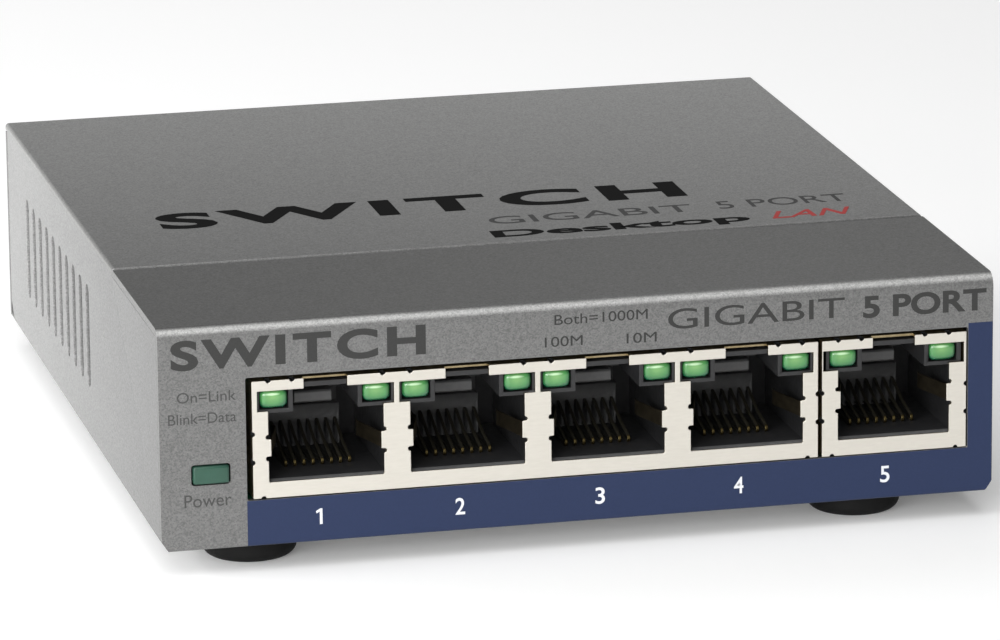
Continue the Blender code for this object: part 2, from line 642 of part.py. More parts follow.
def build():
    clear_scene()
    paint = make_material("speckled_grey_paint", (0.20, 0.20, 0.20), 0.45, 0.6)
    cover_paint = make_material("cover_grey_paint", (0.20, 0.20, 0.20), 0.45, 0.6)
    nickel = make_material("nickel_plate", (0.78, 0.75, 0.70), 0.25, 1.0)
    black = make_material("black_plastic", (0.012, 0.012, 0.013), 0.4)
    gold = make_material("gold_contacts", (0.80, 0.60, 0.25), 0.3, 1.0)
    make_base(paint)
    make_cover(cover_paint)
    make_feet(make_material("black_rubber", (0.02, 0.02, 0.02), 0.8))
    make_board(make_material("green_laminate", (0.02, 0.14, 0.06), 0.4))
    make_board_fixings(make_material("zinc_plate", (0.6, 0.6, 0.6), 0.35, 1.0))
    make_cover_screws(make_material("black_screws", (0.05, 0.05, 0.05), 0.4, 1.0))
    make_shield("jack_shield_quad", QUAD_X, PORT_X[:4], nickel)
    make_shield("jack_shield_single", SINGLE_X, PORT_X[4:], nickel)
    make_jack_housing("jack_housing_quad", QUAD_X, PORT_X[:4], black)
    make_jack_housing("jack_housing_single", SINGLE_X, PORT_X[4:], black)
    green_lens = make_material("green_lens", (0.10, 0.45, 0.12), 0.2)
    for number, port in enumerate(PORT_X, 1):
        make_contacts(number, port, gold)
        make_link_lights(number, port, green_lens)
    lamp = make_material("lamp_resin", (0.8, 0.8, 0.7), 0.4)
    make_power_light(make_material("teal_lens", (0.05, 0.17, 0.11), 0.3), lamp)
    make_supply_socket(black, nickel)
    make_reset_switch(black, make_material("brown_plastic", (0.10, 0.06, 0.04), 0.5))
    epoxy = make_material("chip_epoxy", (0.02, 0.02, 0.02), 0.6)
    aluminium = make_material("bare_aluminium", (0.7, 0.7, 0.72), 0.35, 1.0)
    steel = make_material("crystal_can", (0.6, 0.6, 0.6), 0.3, 1.0)
    make_board_parts(epoxy, aluminium, steel, make_material("ferrite", (0.08, 0.08, 0.08), 0.7))


build()
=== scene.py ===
"""Looks of the desktop network switch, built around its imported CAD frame.

Helpers work in millimetres, and MM turns them into Blender's metres. Every place comes from the CAD
nodes' boxes, with the small distances that the CAD leaves plain named below.
"""

import json
import math

import bmesh
import bpy
from mathutils import Matrix, Vector


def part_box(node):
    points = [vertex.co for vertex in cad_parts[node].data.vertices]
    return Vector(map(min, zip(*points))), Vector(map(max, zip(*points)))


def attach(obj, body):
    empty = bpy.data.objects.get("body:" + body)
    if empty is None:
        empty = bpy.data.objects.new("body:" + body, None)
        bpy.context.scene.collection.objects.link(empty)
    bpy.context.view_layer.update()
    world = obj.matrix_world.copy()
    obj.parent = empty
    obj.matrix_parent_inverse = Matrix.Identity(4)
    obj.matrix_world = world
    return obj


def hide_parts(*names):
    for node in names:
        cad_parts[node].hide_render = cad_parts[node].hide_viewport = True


MM = 0.001
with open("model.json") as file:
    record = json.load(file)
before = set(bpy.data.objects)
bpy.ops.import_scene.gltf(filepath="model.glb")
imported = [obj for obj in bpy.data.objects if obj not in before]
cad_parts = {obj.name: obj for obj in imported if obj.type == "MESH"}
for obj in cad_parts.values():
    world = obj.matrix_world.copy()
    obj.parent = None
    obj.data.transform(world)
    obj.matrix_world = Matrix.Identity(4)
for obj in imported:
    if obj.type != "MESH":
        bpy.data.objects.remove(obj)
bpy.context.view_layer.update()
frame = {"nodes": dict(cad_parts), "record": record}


class Box:
    """A CAD node's box in millimetres: x, y and z are (low, high)."""

    def __init__(self, node):
        low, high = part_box(node)
        self.x, self.y, self.z = ((low[i] / MM, high[i] / MM) for i in range(3))

    def middle(self):
        return [(low + high) / 2 for low, high in (self.x, self.y, self.z)]


CASE = Box("base_chassis")
COVER = Box("top_cover")
FRONT, REAR = CASE.y
SIDE = CASE.x[1]
SHEET = 0.8
SEAM_Y = FRONT + 27.6
SEAM_GAP = 0.12
TONGUE = 4.0
FRONT_BEND = 1.5
REAR_BEND = 2.0
TIGHT_BEND = 0.4
STRIP_TOP = CASE.z[1]
COVER_TOP = COVER.z[1]
CORNER_CUT = (0.8, 1.2)
COVER_CORNER_CUT = 2.0
EDGE = 0.08

PORT_X = [Box(f"contact_set_{n}").middle()[0] for n in range(1, 6)]
QUAD = Box("jack_shield_quad")
SINGLE = Box("jack_shield_single")
OPENING_X = (QUAD.x[0] - 0.7, SINGLE.x[1] + 0.2)
OPENING_Z = (QUAD.z[0] - 0.12, QUAD.z[1] + 0.5)
MOUTH_HALF = 6.4
MOUTH_Z = (QUAD.z[0] + 1.77, QUAD.z[0] + 9.77)
WINDOW_HALF = 7.6
WINDOW_TOP = QUAD.z[1] - 1.15
LATCH_HALF = 2.42
LEAF_IN = 0.3
LIGHT_X = Box("power_light_guide").x
LIGHT_Z = (Box("power_light_guide").z[1] - 2.0, Box("power_light_guide").z[1])
VENT_FIRST_Y = -5.9
VENT_PITCH = 4.61
VENT_WIDTH = 2.2
VENT_Z = (9.85, 21.9)
CASE_BODY = "switch_case"
PLUNGER_BODY = "reset_plunger"


# ---------------------------------------------------------------- mesh helpers


def in_space(axis, u, v, w):
    order = {"X": (w, u, v), "Y": (u, w, v), "Z": (u, v, w)}
    return Vector(order[axis]) * MM


def arc(centre, radius, start, end, steps):
    angles = [math.radians(start + (end - start) * i / steps) for i in range(steps + 1)]
    return [(centre[0] + radius * math.cos(a), centre[1] + radius * math.sin(a)) for a in angles]


def rounded_rectangle(centre, width, height, radius, steps=6):
    u, v = width / 2 - radius, height / 2 - radius
    points = []
    for du, dv, start in ((u, v, 0), (-u, v, 90), (-u, -v, 180), (u, -v, 270)):
        points += arc((centre[0] + du, centre[1] + dv), radius, start, start + 90, steps)
    before = [points[-1]] + points
    return [point for point, last in zip(points, before) if math.dist(point, last) > 1e-6]


def object_from(name, bm, material=None):
    bmesh.ops.recalc_face_normals(bm, faces=bm.faces)
    mesh = bpy.data.meshes.new(name)
    bm.to_mesh(mesh)
    bm.free()
    obj = bpy.data.objects.new(name, mesh)
    if material:
        mesh.materials.append(material)
    bpy.context.scene.collection.objects.link(obj)
    return obj


def add_box(bm, x, y, z):
    size = [(high - low) * MM for low, high in (x, y, z)]
    middle = [(high + low) * MM / 2 for low, high in (x, y, z)]
    matrix = Matrix.Translation(middle) @ Matrix.Diagonal((*size, 1.0))
    bmesh.ops.create_cube(bm, size=1.0, matrix=matrix)


def box(name, x, y, z, material=None):
    bm = bmesh.new()
    add_box(bm, sorted(x), sorted(y), sorted(z))
    return object_from(name, bm, material)


def prism(name, outlines, axis, low, high, material=None):
    bm = bmesh.new()
    for outline in outlines:
        face = bm.faces.new([bm.verts.new(in_space(axis, u, v, low)) for u, v in outline])
        extruded = bmesh.ops.extrude_face_region(bm, geom=[face])
        moved = [item for item in extruded["geom"] if isinstance(item, bmesh.types.BMVert)]
        bmesh.ops.translate(bm, vec=in_space(axis, 0, 0, high - low), verts=moved)
    return object_from(name, bm, material)


def folded_sheet(name, profile, axis, low, high, material=None):
    """Sheet metal along an axis. profile(inset) gives its outer face at 0 and its inner face at SHEET."""
    return prism(name, [profile(0.0) + profile(SHEET)[::-1]], axis, low, high, material)


def tight_corner(corner, inwards, inset, start, turn=90):
    """A bend that is round on its outer face and sharp on its inner one."""
    if inset:
        return [(corner[0] + inwards[0] * inset, corner[1] + inwards[1] * inset)]
    centre = (corner[0] + inwards[0] * TIGHT_BEND, corner[1] + inwards[1] * TIGHT_BEND)
    return arc(centre, TIGHT_BEND, start, start + turn, 8)


def turned(name, profile, place, material=None, steps=48, axis="Z"):
    """A profile of (radius, height) points turned about an axis through a place."""
    bm = bmesh.new()
    verts = [bm.verts.new(Vector((r, 0.0, h)) * MM) for r, h in profile]
    edges = [bm.edges.new(pair) for pair in zip(verts, verts[1:])]
    bmesh.ops.spin(
        bm, geom=verts + edges, cent=(0, 0, 0), axis=(0, 0, 1), angle=math.tau, steps=steps, use_merge=True
    )
    bmesh.ops.remove_doubles(bm, verts=bm.verts, dist=1e-6)
    bmesh.ops.dissolve_degenerate(bm, edges=bm.edges, dist=1e-7)
    turn = Matrix.Rotation(math.radians(-90), 4, "X") if axis == "Y" else Matrix.Identity(4)
    bmesh.ops.transform(bm, matrix=Matrix.Translation(Vector(place) * MM) @ turn, verts=bm.verts)
    return object_from(name, bm, material)


def cut(obj, *tools, operation="DIFFERENCE"):
    for tool in tools:
        modifier = obj.modifiers.new(tool.name, "BOOLEAN")
        modifier.object = tool
        modifier.operation = operation
        modifier.solver = "EXACT"
        tool.hide_render = True


def join(obj, *tools):
    cut(obj, *tools, operation="UNION")


def bevel(obj, width, segments=2, angle=30):
    modifier = obj.modifiers.new("edges", "BEVEL")
    modifier.width = width * MM
    modifier.segments = segments
    modifier.limit_method = "ANGLE"
    modifier.angle_limit = math.radians(angle)
    modifier.miter_outer = "MITER_ARC"


def settle(obj, smooth=40):
    """Applies an object's modifiers and removes the tools that they used. smooth is in degrees, 0 for flat faces."""
    tools = {m.object for m in obj.modifiers if m.type == "BOOLEAN"}
    if smooth:
        normals = obj.modifiers.new("normals", "WEIGHTED_NORMAL")
        normals.keep_sharp = True
    graph = bpy.context.evaluated_depsgraph_get()
    for polygon in obj.data.polygons:
        polygon.use_smooth = smooth > 0
    obj.data.set_sharp_from_angle(angle=math.radians(smooth))
    graph.update()
    mesh = bpy.data.meshes.new_from_object(obj.evaluated_get(graph), depsgraph=graph)
    obj.modifiers.clear()
    obj.data = mesh
    for polygon in mesh.polygons:
        polygon.use_smooth = smooth > 0
    for tool in tools:
        bpy.data.objects.remove(tool, do_unlink=True)
    return obj


def piece(obj, slot, *nodes, body=CASE_BODY, smooth=40):
    """Makes a finished object part of the switch, standing for the CAD nodes named."""
    settle(obj, smooth)
    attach(obj, body)
    if nodes:
        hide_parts(*nodes)
    return obj


# ---------------------------------------------------------------- materials


def start_material(name):
    material = bpy.data.materials.new(name)
    material.use_nodes = True
    return material, material.node_tree, material.node_tree.nodes["Principled BSDF"]


def noise(tree, scale, detail=2.0, stretch=None):
    """Noise in object space. scale is in features per millimetre."""
    coordinates = tree.nodes.new("ShaderNodeTexCoord").outputs["Object"]
    if stretch:
        mapping = tree.nodes.new("ShaderNodeMapping")
        mapping.inputs["Scale"].default_value = stretch
        tree.links.new(coordinates, mapping.inputs["Vector"])
        coordinates = mapping.outputs["Vector"]
    texture = tree.nodes.new("ShaderNodeTexNoise")
    texture.inputs["Scale"].default_value = scale / MM
    texture.inputs["Detail"].default_value = detail
    tree.links.new(coordinates, texture.inputs["Vector"])
    return texture.outputs["Fac"]


def flakes(tree, scale):
    """A random value for each small cell, such as a metal flake."""
    coordinates = tree.nodes.new("ShaderNodeTexCoord")
    texture = tree.nodes.new("ShaderNodeTexVoronoi")
    texture.inputs["Scale"].default_value = scale / MM
    tree.links.new(coordinates.outputs["Object"], texture.inputs["Vector"])
    split = tree.nodes.new("ShaderNodeSeparateColor")
    tree.links.new(texture.outputs["Color"], split.inputs["Color"])
    return split.outputs["Red"]


def ramp(tree, value, *stops):
    """A colour ramp from (position, colour) stops."""
    node = tree.nodes.new("ShaderNodeValToRGB")
    elements = node.color_ramp.elements
    while len(elements) < len(stops):
        elements.new(0.5)
    for element, (position, color) in zip(elements, stops):
        element.position = position
        element.color = (*color, 1.0)
    tree.links.new(value, node.inputs["Fac"])
    return node.outputs["Color"]


def spread(tree, value, low, high):
    node = tree.nodes.new("ShaderNodeMapRange")
    node.inputs["From Min"].default_value = 0.3
    node.inputs["From Max"].default_value = 0.7
    node.inputs["To Min"].default_value = low
    node.inputs["To Max"].default_value = high
    tree.links.new(value, node.inputs["Value"])
    return node.outputs["Result"]


def blend(tree, kind, factor, a, b):
    node = tree.nodes.new("ShaderNodeMix")
    node.data_type = "RGBA"
    node.blend_type = kind
    node.inputs["Factor"].default_value = factor
    tree.links.new(a, node.inputs["A"])
    tree.links.new(b, node.inputs["B"])
    return node.outputs["Result"]


def add_bump(tree, shader, value, strength, height):
    node = tree.nodes.new("ShaderNodeBump")
    node.inputs["Strength"].default_value = strength
    node.inputs["Distance"].default_value = height * MM
    tree.links.new(value, node.inputs["Height"])
    tree.links.new(node.outputs["Normal"], shader.inputs["Normal"])


def set_values(shader, **values):
    for name, value in values.items():
        shader.inputs[name.replace("_", " ").title().replace("Ior", "IOR")].default_value = value


def along_depth(tree, front, rear):
    """A factor that goes from front to rear of the case."""
    split = tree.nodes.new("ShaderNodeSeparateXYZ")
    tree.links.new(tree.nodes.new("ShaderNodeTexCoord").outputs["Object"], split.inputs["Vector"])
    scale = tree.nodes.new("ShaderNodeMapRange")
    for socket, value in zip(("From Min", "From Max", "To Min", "To Max"), (FRONT * MM, REAR * MM, front, rear)):
        scale.inputs[socket].default_value = value
    tree.links.new(split.outputs["Y"], scale.inputs["Value"])
    return scale.outputs["Result"]


def by_slope(tree, *stops):
    """Painted light by the slope of the surface: a shade for each upward slope, from upright at 0 to level at 1, on its
    front side.
    """
    split = tree.nodes.new("ShaderNodeSeparateXYZ")
    tree.links.new(tree.nodes.new("ShaderNodeNewGeometry").outputs["Normal"], split.inputs["Vector"])
    return ramp(tree, split.outputs["Z"], *[(at, (shade,) * 3) for at, shade in stops])


def speckled_paint(name, dark, light, shades, slopes=None, metallic=0.4, roughness=(0.42, 0.52)):
    """Sprayed metallic paint: fine flakes, soft mottling and a slight orange peel, with painted shade that darkens it
    towards the front of the case and, where slopes are given, painted light by slope.
    """
    material, tree, shader = start_material(name)
    flake = ramp(tree, flakes(tree, 7.0), (0.0, dark), (0.6, light), (1.0, [c * 1.15 for c in light]))
    mottle = ramp(tree, noise(tree, 2.2, 3.0), (0.3, (0.88,) * 3), (0.7, (1.0,) * 3))
    mottled = blend(tree, "MULTIPLY", 1.0, flake, mottle)
    # Painted shade: the paint darkens from the rear of the case towards its front.
    shade = ramp(tree, along_depth(tree, 0.0, 1.0), (0.0, (shades[0],) * 3), (1.0, (shades[1],) * 3))
    colour = blend(tree, "MULTIPLY", 1.0, mottled, shade)
    # Painted light by slope, such as the painted highlight on the base's front bend.
    if slopes:
        colour = blend(tree, "MULTIPLY", 1.0, colour, by_slope(tree, *slopes))
    tree.links.new(colour, shader.inputs["Base Color"])
    tree.links.new(spread(tree, noise(tree, 3.0), *roughness), shader.inputs["Roughness"])
    add_bump(tree, shader, noise(tree, 4.0, 2.0), 0.15, 0.02)
    set_values(shader, metallic=metallic)
    return material


def textured(name, dark, light, scale=1.0, roughness=(0.35, 0.5), bump=(0.2, 0.02), stretch=None, **values):
    """Two close shades in a soft pattern, with roughness and relief that follow it."""
    material, tree, shader = start_material(name)
    pattern = noise(tree, scale, 4.0, stretch)
    tree.links.new(ramp(tree, pattern, (0.3, dark), (0.7, light)), shader.inputs["Base Color"])
    tree.links.new(spread(tree, pattern, *roughness), shader.inputs["Roughness"])
    add_bump(tree, shader, noise(tree, scale * 3, 3.0, stretch), *bump)
    set_values(shader, **values)
    return material


def from_middle(tree, middle, scale):
    """How far each place lies from a middle, both in fractions of the object's size."""
    last = tree.nodes.new("ShaderNodeTexCoord").outputs["Generated"]
    for operation, factor in (("SUBTRACT", middle), ("MULTIPLY", scale)):
        node = tree.nodes.new("ShaderNodeVectorMath")
        node.operation = operation
        node.inputs[1].default_value = factor
        tree.links.new(last, node.inputs[0])
        last = node.outputs["Vector"]
    length = tree.nodes.new("ShaderNodeVectorMath")
    length.operation = "LENGTH"
    tree.links.new(last, length.inputs[0])
    return length.outputs["Value"]


def lens_material(name, core, middle, rim, streak=None, **values):
    """A tinted lens with a painted glow in its middle that darkens to painted shade at its rim, and, where a streak is
    given, a painted highlight near its top.
    """
    material, tree, shader = start_material(name)
    distance = from_middle(tree, (0.45, 0.5, 0.62), (0.85, 0.0, 0.9))
    tinted = ramp(tree, distance, (0.05, core), (0.34, middle), (0.52, rim))
    if streak:
        painted_glint = ramp(tree, from_middle(tree, (0.42, 0.5, 0.76), (1.3, 0.0, 5.0)), (0.15, streak), (0.42, (0, 0, 0)))
        tinted = blend(tree, "ADD", 1.0, tinted, painted_glint)
    cloud = ramp(tree, noise(tree, 1.2), (0.3, (0.9,) * 3), (0.7, (1.0,) * 3))
    tree.links.new(blend(tree, "MULTIPLY", 1.0, tinted, cloud), shader.inputs["Base Color"])
    add_bump(tree, shader, noise(tree, 2.0), 0.1, 0.01)
    set_values(shader, **values)
    return material


# Painted light by slope for the base: a painted highlight along the front bend, a painted dark line just behind it and
# painted shade on the level strip.
PAINTED_BEND_LIGHT = ((0.0, 1.0), (0.45, 1.05), (0.7, 2.7), (0.84, 2.7), (0.93, 1.2), (0.975, 0.6), (0.995, 0.8))
# The last pair of each is painted shade along the depth: the front is 0.83 of the rear's shade on the base, 0.55 to
# 1.05 on the cover.
PAINT = speckled_paint("base_speckled_paint", (0.17, 0.17, 0.167), (0.235, 0.235, 0.231), (0.83, 1.0), PAINTED_BEND_LIGHT)
COVER_PAINT = speckled_paint("cover_speckled_paint", (0.26, 0.26, 0.257), (0.345, 0.345, 0.341), (0.55, 1.05))
BLUE = textured(
    "blue_band_paint", (0.021, 0.033, 0.082), (0.024, 0.037, 0.090), 5.0, (0.5, 0.6), (0.15, 0.01), ior=1.3
)
NICKEL = textured(
    "nickel_face", (0.76, 0.725, 0.65), (0.80, 0.765, 0.69), 0.8, (0.3, 0.36), (0.02, 0.005), (1, 1, 6), metallic=1.0
)
# The shield's sides, top and cut edges: brass at the cut edges and painted shade on the plated sides, darker and warmer
# than the face.
BRASS_AND_PAINTED_SHADE = textured(
    "nickel_edge_brass_and_painted_shade", (0.33, 0.26, 0.14), (0.55, 0.45, 0.27), 1.5, (0.3, 0.45), (0.1, 0.01), metallic=1.0
)
# The grounding leaves are darkened from their metal's colour: painted shade from the dark inside of the port.
LEAF_METAL_PAINTED_SHADE = textured(
    "leaf_metal_painted_shade", (0.09, 0.075, 0.05), (0.13, 0.11, 0.075), 1.5, (0.4, 0.5), (0.1, 0.01), metallic=1.0
)
BLACK = textured("jack_plastic", (0.016, 0.016, 0.017), (0.024, 0.024, 0.025), 1.5, (0.32, 0.45), (0.25, 0.02))
# A lighter grey copy of the black jack plastic for the comb, the latch stops and the lip's up-facing slope inside the
# ports: painted light.
PAINTED_LIGHT_PLASTIC = textured("jack_plastic_painted_light", (0.085, 0.085, 0.085), (0.105, 0.105, 0.105), 1.5, (0.4, 0.5), (0.25, 0.02))
# Both wire materials are gold darkened as painted shade inside the port; the second, much darker and not metallic, is
# for the wires deeper in.
GOLD = textured("gold_wire", (0.10, 0.075, 0.03), (0.15, 0.115, 0.045), 4.0, (0.35, 0.5), (0.1, 0.01), metallic=1.0)
SHADED_GOLD = textured("gold_wire_deep_painted_shade", (0.012, 0.010, 0.006), (0.02, 0.017, 0.010), 4.0, (0.5, 0.6), (0.1, 0.01))
RUBBER = textured("foot_rubber", (0.004, 0.004, 0.004), (0.008, 0.008, 0.008), 3.0, (0.6, 0.8), (0.5, 0.05), ior=1.3)
# Link lights: the bright middle is a painted glow, the dark rim painted shade and the streak a painted highlight.
GREEN = lens_material(
    "green_lens", (0.165, 0.38, 0.12), (0.065, 0.26, 0.075), (0.008, 0.10, 0.045), (0.45, 0.5, 0.42),
    roughness=0.12, coat_weight=0.6
)
# The power light darkens a little towards its rim: painted shade.
TEAL = lens_material(
    "teal_lens", (0.028, 0.092, 0.062), (0.025, 0.085, 0.056), (0.016, 0.06, 0.04), roughness=0.3
)
WHITE_INK = textured("white_ink", (0.72, 0.74, 0.78), (0.82, 0.83, 0.86), 6.0, (0.45, 0.6), (0.1, 0.01))
DARK_INK = textured("dark_grey_ink", (0.038, 0.038, 0.037), (0.048, 0.048, 0.047), 6.0, (0.6, 0.75), (0.1, 0.01), ior=1.3)
SOFT_INK = textured("soft_grey_ink", (0.065, 0.065, 0.064), (0.08, 0.08, 0.079), 6.0, (0.6, 0.75), (0.1, 0.01), ior=1.3)
BLACK_INK = textured("black_ink", (0.006, 0.006, 0.006), (0.01, 0.01, 0.01), 6.0, (0.8, 0.9), (0.1, 0.01), ior=1.15)
FAINT_INK = textured("faint_grey_ink", (0.05, 0.05, 0.05), (0.07, 0.07, 0.07), 6.0, (0.7, 0.8), (0.1, 0.01), ior=1.2)
RED_INK = textured("red_ink", (0.30, 0.02, 0.02), (0.40, 0.035, 0.03), 6.0, (0.4, 0.5), (0.2, 0.01))


# ---------------------------------------------------------------- case


def base_profile(inset):
    """From the tongue under the cover, over the strip, down the front, along the floor and up the rear."""
    step_y, tongue_z = SEAM_Y - SEAM_GAP - inset, COVER_TOP - SHEET - 0.3 - inset
    points = [(SEAM_Y + TONGUE, tongue_z), (step_y, tongue_z)]
    points += arc((step_y - 0.4, STRIP_TOP - inset - 0.25), 0.25, 10, 90, 6)
    points += arc((FRONT + FRONT_BEND, STRIP_TOP - FRONT_BEND), FRONT_BEND - inset, 90, 180, 16)
    points += tight_corner((FRONT, CASE.z[0]), (1, 1), inset, 180)
    points += arc((REAR - REAR_BEND, CASE.z[0] + REAR_BEND), REAR_BEND - inset, 270, 360, 12)
    points.append((REAR - inset, COVER_TOP - SHEET - 0.2))
    return points


def corner_cutters(prefix):
    """Tools that chamfer the lower corners of the front and rear panels."""
    low = CASE.z[0]
    across, up = CORNER_CUT
    for side in (-1, 1):
        corner = [
            (side * (SIDE - 2 * across), low - up),
            (side * (SIDE + across), low + 2 * up),
            (side * (SIDE + across), low - up),
        ]
        yield prism(f"{prefix}_{side}", [corner], "Y", FRONT - 1, REAR + 1)


def rear_hole(name, centre, radius):
    profile = [(0, 3), (radius, 3), (radius, -3), (0, -3)]
    return turned(name, profile, (centre[0], REAR, centre[1]), steps=32, axis="Y")


def keyhole(x, entry=3.3, slot=1.8, length=6.5):
    half_gap = math.degrees(math.asin(slot / entry))
    outline = arc((x, 0.0), entry, 90 + half_gap, 450 - half_gap, 32)
    return outline + arc((x, length), slot, 0, 180, 16)


def make_base():
    base = folded_sheet("base_shell", base_profile, "X", -SIDE, SIDE, PAINT)
    inset = SIDE - SHEET - 0.3
    for side in (-1, 1):
        beside = (side * inset, side * (SIDE + 1))
        inner = (FRONT + SHEET + 0.02, REAR - 6.5)
        cut(base, box(f"floor_{side}", beside, inner, (CASE.z[0] - 1, CASE.z[0] + 2)))
        under = (STRIP_TOP - 5, STRIP_TOP - SHEET - 0.02)
        cut(base, box(f"step_{side}", beside, (SEAM_Y - 1.5, SEAM_Y + TONGUE + 1), under))
        tongue = (SEAM_Y - 0.3, SEAM_Y + TONGUE + 1)
        cut(base, box(f"tongue_{side}", beside, tongue, (STRIP_TOP - 5, STRIP_TOP + 1)))
    cut(base, *corner_cutters("base_corner"))
    middle = [sum(OPENING_X) / 2, sum(OPENING_Z) / 2]
    size = [OPENING_X[1] - OPENING_X[0], OPENING_Z[1] - OPENING_Z[0]]
    opening = rounded_rectangle(middle, *size, 0.25, 4)
    cut(base, prism("port_opening", [opening], "Y", FRONT - 1, FRONT + 2))
    size = [LIGHT_X[1] - LIGHT_X[0] + 0.35, LIGHT_Z[1] - LIGHT_Z[0] + 0.35]
    hole = rounded_rectangle([sum(LIGHT_X) / 2, sum(LIGHT_Z) / 2], *size, 0.35, 5)
    cut(base, prism("light_hole", [hole], "Y", FRONT - 1, FRONT + 2))
    socket = Box("supply_socket")
    size = [socket.x[1] - socket.x[0] + 0.5, socket.z[1] - socket.z[0] + 0.5]
    hole = rounded_rectangle([socket.middle()[0], socket.middle()[2]], *size, 0.4, 5)
    cut(base, prism("socket_hole", [hole], "Y", REAR - 2, REAR + 1))
    button = Box("reset_button").middle()
    cut(base, rear_hole("reset_hole", (button[0], button[2]), 1.0))
    lock = rounded_rectangle((-33.0, 13.0), 7.0, 3.0, 1.0, 8)
    cut(base, prism("lock_slot", [lock], "Y", REAR - 2, REAR + 1))
    for side in ("left", "right"):
        screw = Box(f"cover_screw_{side}").middle()
        cut(base, rear_hole(f"screw_hole_{side}", (screw[0], screw[2]), 1.6))
    hooks = [keyhole(-29.0), keyhole(29.0)]
    cut(base, prism("hooks", hooks, "Z", CASE.z[0] - 1, CASE.z[0] + 2))
    bevel(base, EDGE)
    piece(base, "case_paint", "base_chassis")


def cover_profile(inset):
    """Up the left side, across the top and down the right side."""
    left = tight_corner((-SIDE, COVER_TOP), (1, -1), inset, 180, -90)
    right = tight_corner((SIDE, COVER_TOP), (-1, -1), inset, 90, -90)
    return [(-SIDE + inset, COVER.z[0])] + left + right + [(SIDE - inset, COVER.z[0])]


def make_cover():
    cover = folded_sheet("cover_shell", cover_profile, "Y", FRONT + SHEET + 0.06, COVER.y[1], COVER_PAINT)
    across = (-SIDE - 1, SIDE + 1)
    cut(cover, box("strip_room", across, (FRONT - 1, SEAM_Y), (STRIP_TOP - SHEET - 0.05, COVER_TOP + 1)))
    behind = (REAR - SHEET - 0.15, REAR + 1)
    cut(cover, box("rear_room", across, behind, (0, COVER_TOP - SHEET + 0.02)))
    rear_y, size, hem = REAR - SHEET - 0.15, COVER_CORNER_CUT, COVER.z[0]
    corner = [(rear_y - 2 * size, hem - size), (rear_y + size, hem + 2 * size), (rear_y + size, hem - size)]
    cut(cover, prism("rear_corner_cut", [corner], "X", -SIDE - 1, SIDE + 1))
    vents = []
    for index in range(10):
        middle = (VENT_FIRST_Y + VENT_PITCH * index, sum(VENT_Z) / 2)
        vents.append(rounded_rectangle(middle, VENT_WIDTH, VENT_Z[1] - VENT_Z[0], VENT_WIDTH / 2, 8))
    cut(cover, prism("vents_left", vents, "X", -SIDE - 1, -SIDE + 2))
    cut(cover, prism("vents_right", vents, "X", SIDE - 2, SIDE + 1))
    for side in (-1, 1):
        x = (side * 38.2, side * (SIDE - SHEET - 0.3))
        rear = REAR - SHEET - 0.6
        join(cover, box(f"tab_{side}", x, (rear - SHEET, rear), (18.5, COVER_TOP - SHEET / 2)))
        cut(cover, rear_hole(f"tab_hole_{side}", (side * 42.0, 22.5), 1.6))
    bevel(cover, EDGE)
    piece(cover, "case_paint", "top_cover")


def make_band():
    """The blue film under the ports and up the right side, which follows the lower bend."""
    proud, top, film = 0.012, 22.4, 0.03

    def profile(inset):
        offset = proud - inset
        lower = (FRONT + TIGHT_BEND, CASE.z[0] + TIGHT_BEND)
        return [(FRONT - offset, top)] + arc(lower, TIGHT_BEND + offset, 180, 235, 6)

    outline = profile(0.0) + profile(film)[::-1]
    band = prism("blue_band", [outline], "X", OPENING_X[0] - 0.03, SIDE - 0.05, BLUE)
    room = ((-SIDE, OPENING_X[1] + 0.02), (FRONT - 1, FRONT + 2), (OPENING_Z[0] - 0.02, top + 1))
    cut(band, box("band_room", *room))
    cut(band, *corner_cutters("band_corner"))
    piece(band, "case_paint", smooth=0)


def make_feet():
    for end in ("front", "rear"):
        for side in ("left", "right"):
            node = f"foot_{end}_{side}"
            foot = Box(node)
            x, y, _ = foot.middle()
            radius, top = (foot.x[1] - foot.x[0]) / 2, CASE.z[0]
            profile = [(0, top), (radius - 0.1, top), (radius, top - 0.15)]
            profile += arc((radius - 1.2, 1.2), 1.2, 0, -90, 12)
            profile += [(radius - 1.6, 0.0), (radius - 1.9, 0.25), (0, 0.25)]
            piece(turned(f"rubber_{node}", profile, (x, y, 0), RUBBER, 64), "rubber", node)


# ---------------------------------------------------------------- jacks


def mouth_outline(x, leaf_z, window):
    """The shield's cut-out for one port: plug mouth, light windows and latch notch."""
    low, high = MOUTH_Z
    relief = 0.26
    half = [(MOUTH_HALF - 0.1, low), (MOUTH_HALF, low + 0.1)]
    half += arc((MOUTH_HALF + 0.05, leaf_z[0] - relief), relief, -100, 60, 6)
    half += [(MOUTH_HALF - LEAF_IN, leaf_z[0]), (MOUTH_HALF - LEAF_IN, leaf_z[1])]
    half += arc((MOUTH_HALF + 0.05, leaf_z[1] + relief), relief, -60, 100, 6)
    half += [(MOUTH_HALF, high), (window, high), (window, WINDOW_TOP)]
    half += [(LATCH_HALF, WINDOW_TOP), (LATCH_HALF, QUAD.z[1] + 1)]
    return [(x + u, v) for u, v in half] + [(x - u, v) for u, v in reversed(half)]


def notches(shield, ports):
    """Places of the small half-round notches round a shield's front face."""
    first, last = ports[0], ports[-1]
    top = [port + side * 6.35 for port in ports for side in (-1, 1)] + [first - 3.7, last + 3.6]
    places = [(x, shield.z[1] + 0.02) for x in top]
    places += [(x, shield.z[0] - 0.02) for x in (shield.x[0] + 1.15, shield.x[1] - 1.2)]
    places += [(x, z) for x in shield.x for z in (12.3, 15.5)]
    return places


